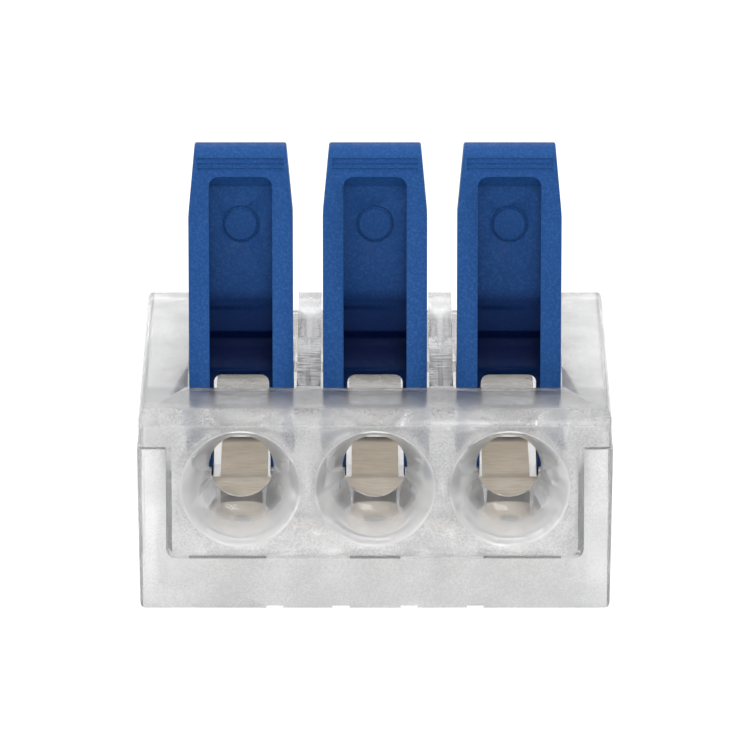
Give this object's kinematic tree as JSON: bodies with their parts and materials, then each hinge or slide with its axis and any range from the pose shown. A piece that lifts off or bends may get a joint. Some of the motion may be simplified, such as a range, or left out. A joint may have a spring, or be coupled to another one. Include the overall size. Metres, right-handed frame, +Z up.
{
  "type": "lever splice connector",
  "caption": "Compact clear splice connector for electrical wires, with funnel wire entries, a shared contact bar, clamp springs and coloured hinged levers.",
  "frame": {"origin": "middle of the underside, on the surface it rests on", "axes": "+Z up, wire entries face -Y, levers fold back towards +Y, poles side by side along X"},
  "size_m": [0.0198, 0.0184, 0.0189],
  "materials": {
    "clear_hood": "clear polycarbonate, fine satin grain outside, glossy funnels",
    "clear_tray": "clear polycarbonate, fine satin grain outside",
    "tinned_copper": "tin-plated copper strip, dull, lightly brushed",
    "spring_steel": "stainless spring strip, brushed along its length",
    "blue_lever": "moulded blue plastic with a fine satin grain"
  },
  "bodies": {
    "root": {"upper_housing": "clear_hood", "lower_housing": "clear_tray", "busbar": "tinned_copper", "clamp_spring_1": "spring_steel", "clamp_spring_2": "spring_steel", "clamp_spring_3": "spring_steel"},
    "lever_body_1": {"lever_1": "blue_lever"},
    "clamp_body_1": {"clamp_leg_1": "spring_steel"},
    "lever_body_2": {"lever_2": "blue_lever"},
    "clamp_body_2": {"clamp_leg_2": "spring_steel"},
    "lever_body_3": {"lever_3": "blue_lever"},
    "clamp_body_3": {"clamp_leg_3": "spring_steel"}
  },
  "joints": [
    {"name": "lever_hinge_1", "type": "hinge", "parent": "root", "child": "lever_body_1", "pos_m": [-0.0056, -0.0031, 0.0064], "axis": [-1, 0, 0], "range_deg": [0, 90]},
    {"name": "clamp_flex_1", "type": "hinge", "parent": "root", "child": "clamp_body_1", "pos_m": [-0.0056, -0.0042, 0.0073], "axis": [-1, 0, 0], "range_deg": [0, 27]},
    {"name": "lever_hinge_2", "type": "hinge", "parent": "root", "child": "lever_body_2", "pos_m": [0, -0.0031, 0.0064], "axis": [-1, 0, 0], "range_deg": [0, 90]},
    {"name": "clamp_flex_2", "type": "hinge", "parent": "root", "child": "clamp_body_2", "pos_m": [0, -0.0042, 0.0073], "axis": [-1, 0, 0], "range_deg": [0, 27]},
    {"name": "lever_hinge_3", "type": "hinge", "parent": "root", "child": "lever_body_3", "pos_m": [0.0056, -0.0031, 0.0064], "axis": [-1, 0, 0], "range_deg": [0, 90]},
    {"name": "clamp_flex_3", "type": "hinge", "parent": "root", "child": "clamp_body_3", "pos_m": [0.0056, -0.0042, 0.0073], "axis": [-1, 0, 0], "range_deg": [0, 27]}
  ],
  "couplings": [
    {"joint": "clamp_flex_1", "follows": "lever_hinge_1", "ratio": 0.3},
    {"joint": "clamp_flex_2", "follows": "lever_hinge_2", "ratio": 0.3},
    {"joint": "clamp_flex_3", "follows": "lever_hinge_3", "ratio": 0.3}
  ]
}
